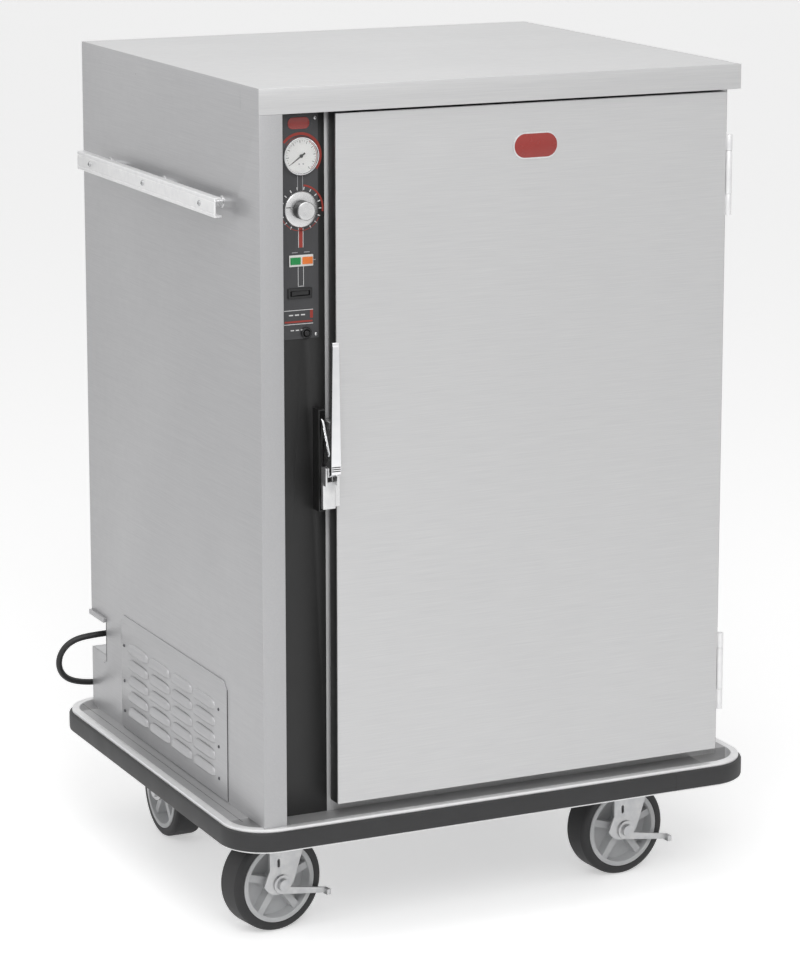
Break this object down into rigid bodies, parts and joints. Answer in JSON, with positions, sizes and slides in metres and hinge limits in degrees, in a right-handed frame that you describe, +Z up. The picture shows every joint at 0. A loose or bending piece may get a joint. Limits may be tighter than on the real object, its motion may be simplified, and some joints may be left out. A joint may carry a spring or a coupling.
{
  "type": "heated banquet cabinet",
  "caption": "Insulated heated holding cabinet with a hinged front door, side controls, bumper and braked swivel casters, for plated meals.",
  "frame": {"origin": "on the floor under the middle of the cabinet body", "axes": "+X to the right seen from the door, +Y to the back, +Z up"},
  "size_m": [0.908, 0.9702, 1.301],
  "materials": {
    "stainless": "brushed",
    "aluminium": "satin mill finish",
    "bumper_rubber": "matte",
    "black_metal": "satin",
    "fascia_print": "satin",
    "chrome": "polished",
    "satin_knob": "satin",
    "black_plastic": "moulded",
    "white_plastic": "gloss",
    "cord_jacket": "satin",
    "tie_fabric": "woven",
    "gasket_rubber": "matte",
    "mineral_wool": "fibrous",
    "zinc": "zinc plated",
    "heater_sheath": "oxidised",
    "motor_enamel": "satin enamel",
    "tyre": "matte",
    "wheel_grey": "moulded"
  },
  "bodies": {
    "cabinet": {"air_duct_cover": "stainless", "back_panel": "stainless", "base_frame": "aluminium", "blower_motor": "motor_enamel", "bumper_insert": "bumper_rubber", "bumper_rail": "aluminium", "caster_plates": "zinc", "control_fascia": "fascia_print", "cord_recess_box": "stainless", "cord_tie": "tie_fabric", "front_frame": "stainless", "handle_spacers": "aluminium", "heater_element": "heater_sheath", "hinge_frame_leaves": "zinc", "inner_liner": "stainless", "insulation": "mineral_wool", "latch_keeper": "black_metal", "left_side_panel": "stainless", "louvre_panel": "stainless", "panel_screws": "stainless", "pilot_lamps": "white_plastic", "power_cord": "cord_jacket", "power_cord_coil": "cord_jacket", "power_plug": "black_plastic", "push_handle": "aluminium", "recess_strip": "black_metal", "right_side_panel": "stainless", "shelf_supports": "stainless", "strain_relief": "black_plastic", "switch_housing": "black_plastic", "thermometer_case": "chrome", "thermostat": "black_plastic", "top_cover": "stainless", "wire_shelves": "stainless"},
    "door": {"door_skin": "stainless", "door_inner_panel": "stainless", "door_insulation": "mineral_wool", "door_gasket": "gasket_rubber", "hinge_door_leaves": "zinc", "latch_body": "chrome"},
    "latch": {"latch_lever": "chrome"},
    "needle": {"thermometer_needle": "black_plastic"},
    "knob": {"thermostat_knob": "satin_knob"},
    "rocker": {"power_rocker": "black_plastic"},
    "breaker": {"breaker_button": "black_plastic"},
    "blower": {"blower_wheel": "zinc"},
    "front_left_fork": {"caster_front_left_fork": "zinc"},
    "front_left_wheel": {"caster_front_left_wheel_core": "wheel_grey", "caster_front_left_tyre": "tyre"},
    "front_left_brake": {"caster_front_left_brake_lever": "zinc"},
    "front_right_fork": {"caster_front_right_fork": "zinc"},
    "front_right_wheel": {"caster_front_right_wheel_core": "wheel_grey", "caster_front_right_tyre": "tyre"},
    "front_right_brake": {"caster_front_right_brake_lever": "zinc"},
    "rear_left_fork": {"caster_rear_left_fork": "zinc"},
    "rear_left_wheel": {"caster_rear_left_wheel_core": "wheel_grey", "caster_rear_left_tyre": "tyre"},
    "rear_right_fork": {"caster_rear_right_fork": "zinc"},
    "rear_right_wheel": {"caster_rear_right_wheel_core": "wheel_grey", "caster_rear_right_tyre": "tyre"}
  },
  "joints": [
    {"name": "door_hinge", "type": "hinge", "parent": "cabinet", "child": "door", "pos_m": [0.3823, -0.352, 0.74], "axis": [0, 0, 1], "range_deg": [0, 180]},
    {"name": "latch_pull", "type": "hinge", "parent": "door", "child": "latch", "pos_m": [-0.2925, -0.373, 0.737], "axis": [1, 0, 0], "range_deg": [0, 30], "stiffness_Nm_per_rad": 0.6, "springref_deg": -14.32},
    {"name": "needle_turn", "type": "hinge", "parent": "cabinet", "child": "needle", "pos_m": [-0.3164, -0.325, 1.1966], "axis": [0, 1, 0], "range_deg": [0, 270]},
    {"name": "knob_turn", "type": "hinge", "parent": "cabinet", "child": "knob", "pos_m": [-0.3158, -0.33, 1.1186], "axis": [0, 1, 0], "range_deg": [0, 300]},
    {"name": "power_rock", "type": "hinge", "parent": "cabinet", "child": "rocker", "pos_m": [-0.318, -0.3178, 0.9955], "axis": [0, 0, 1], "range_deg": [-10, 0]},
    {"name": "breaker_press", "type": "slide", "parent": "cabinet", "child": "breaker", "axis": [0, 1, 0], "range_m": [0, 0.0025], "stiffness_N_per_m": 300},
    {"name": "blower_spin", "type": "hinge", "parent": "cabinet", "child": "blower", "pos_m": [-0.23, 0.06, 0.335], "axis": [1, 0, 0], "continuous": true},
    {"name": "front_left_swivel", "type": "hinge", "parent": "cabinet", "child": "front_left_fork", "pos_m": [-0.299, -0.224, 0.18], "axis": [0, 0, 1], "continuous": true},
    {"name": "front_left_roll", "type": "hinge", "parent": "front_left_fork", "child": "front_left_wheel", "pos_m": [-0.33159, -0.22916, 0.0762], "axis": [-0.1564, 0.9877, 0], "continuous": true},
    {"name": "front_left_brake_press", "type": "hinge", "parent": "front_left_fork", "child": "front_left_brake", "pos_m": [-0.33159, -0.22916, 0.0762], "axis": [-0.1564, 0.9877, 0], "range_deg": [0, 20]},
    {"name": "front_right_swivel", "type": "hinge", "parent": "cabinet", "child": "front_right_fork", "pos_m": [0.299, -0.224, 0.18], "axis": [0, 0, 1], "continuous": true},
    {"name": "front_right_roll", "type": "hinge", "parent": "front_right_fork", "child": "front_right_wheel", "pos_m": [0.26613, -0.22688, 0.0762], "axis": [-0.0872, 0.9962, 0], "continuous": true},
    {"name": "front_right_brake_press", "type": "hinge", "parent": "front_right_fork", "child": "front_right_brake", "pos_m": [0.26613, -0.22688, 0.0762], "axis": [-0.0872, 0.9962, 0], "range_deg": [0, 20]},
    {"name": "rear_left_swivel", "type": "hinge", "parent": "cabinet", "child": "rear_left_fork", "pos_m": [-0.299, 0.215, 0.18], "axis": [0, 0, 1], "continuous": true},
    {"name": "rear_left_roll", "type": "hinge", "parent": "rear_left_fork", "child": "rear_left_wheel", "pos_m": [-0.299, 0.248, 0.0762], "axis": [1, 0, 0], "continuous": true},
    {"name": "rear_right_swivel", "type": "hinge", "parent": "cabinet", "child": "rear_right_fork", "pos_m": [0.299, 0.215, 0.18], "axis": [0, 0, 1], "continuous": true},
    {"name": "rear_right_roll", "type": "hinge", "parent": "rear_right_fork", "child": "rear_right_wheel", "pos_m": [0.30359, 0.24768, 0.0762], "axis": [0.9903, -0.1392, 0], "continuous": true}
  ]
}
